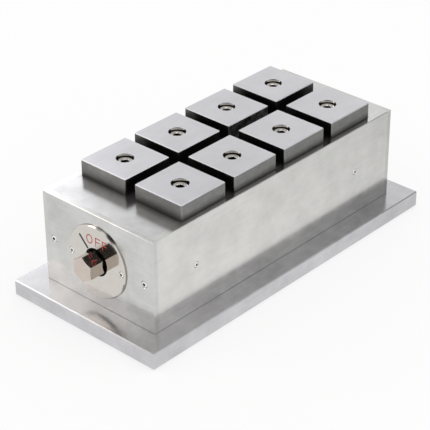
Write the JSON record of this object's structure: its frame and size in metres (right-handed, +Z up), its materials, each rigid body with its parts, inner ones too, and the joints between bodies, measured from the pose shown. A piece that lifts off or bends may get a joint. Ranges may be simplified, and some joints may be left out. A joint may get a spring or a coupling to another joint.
{
  "type": "magnetic chuck",
  "caption": "Switchable permanent-magnet clamping block with square steel poles on a flanged base plate, turned on and off by a hexagonal drive shaft in its end.",
  "frame": {"origin": "centre of the base plate's underside", "axes": "+X along the block from the drive end to the rear end, +Y across it, +Z up"},
  "size_m": [0.335, 0.158, 0.111],
  "materials": {
    "ground_plate": "ground steel, satin",
    "cover_steel": "finely brushed stainless steel",
    "pole_steel": "surface-ground steel",
    "soft_iron": "machined soft iron, dull",
    "aluminium_core": "machined aluminium",
    "brass": "machined brass",
    "bronze": "turned bronze",
    "washer_plastic": "white plastic",
    "seal_rubber": "black rubber",
    "magnet_nickel": "nickel plated",
    "polished_plate": "mirror-polished stainless steel",
    "polished_shaft": "polished steel",
    "cap_screw_steel": "zinc-plated steel",
    "small_screw_steel": "stainless steel"
  },
  "bodies": {
    "block": {"base_plate": "ground_plate", "base_screws": "cap_screw_steel", "bearing_block_drive": "aluminium_core", "bearing_block_rear": "aluminium_core", "bush_drive": "bronze", "bush_rear": "bronze", "centre_spacers_lower": "brass", "centre_spacers_upper": "brass", "dial_plate": "polished_plate", "dial_screws": "small_screw_steel", "end_cover_drive": "cover_steel", "end_cover_rear": "cover_steel", "end_cover_screws": "small_screw_steel", "isolator_plate": "aluminium_core", "pole_extension_1": "pole_steel", "pole_extension_2": "pole_steel", "pole_extension_3": "pole_steel", "pole_extension_4": "pole_steel", "pole_extension_5": "pole_steel", "pole_extension_6": "pole_steel", "pole_extension_7": "pole_steel", "pole_extension_8": "pole_steel", "pole_screws": "cap_screw_steel", "pole_shoe_1": "soft_iron", "pole_shoe_2": "soft_iron", "pole_shoe_3": "soft_iron", "pole_shoe_4": "soft_iron", "pole_shoe_5": "soft_iron", "pole_shoe_6": "soft_iron", "pole_shoe_7": "soft_iron", "pole_shoe_8": "soft_iron", "shaft_seal": "seal_rubber", "side_cover_far": "cover_steel", "side_cover_near": "cover_steel", "side_cover_screws": "small_screw_steel", "thrust_washer_drive": "washer_plastic", "thrust_washer_rear": "washer_plastic", "top_cover": "cover_steel", "web_plate_1": "aluminium_core", "web_plate_2": "aluminium_core", "web_plate_3": "aluminium_core"},
    "rotor": {"rotor_end_plate_drive": "aluminium_core", "rotor_end_plate_rear": "aluminium_core", "rotor_magnets": "magnet_nickel", "rotor_segment_lower_1": "soft_iron", "rotor_segment_lower_2": "soft_iron", "rotor_segment_lower_3": "soft_iron", "rotor_segment_lower_4": "soft_iron", "rotor_segment_upper_1": "soft_iron", "rotor_segment_upper_2": "soft_iron", "rotor_segment_upper_3": "soft_iron", "rotor_segment_upper_4": "soft_iron", "rotor_shaft": "polished_shaft", "rotor_spacer_1": "aluminium_core", "rotor_spacer_2": "aluminium_core", "rotor_spacer_3": "aluminium_core", "segment_screws": "cap_screw_steel", "stop_pin": "cap_screw_steel"}
  },
  "joints": [
    {"name": "rotor_turn", "type": "hinge", "parent": "block", "child": "rotor", "pos_m": [0, 0, 0.05575], "axis": [-1, 0, 0], "range_deg": [0, 90]}
  ]
}
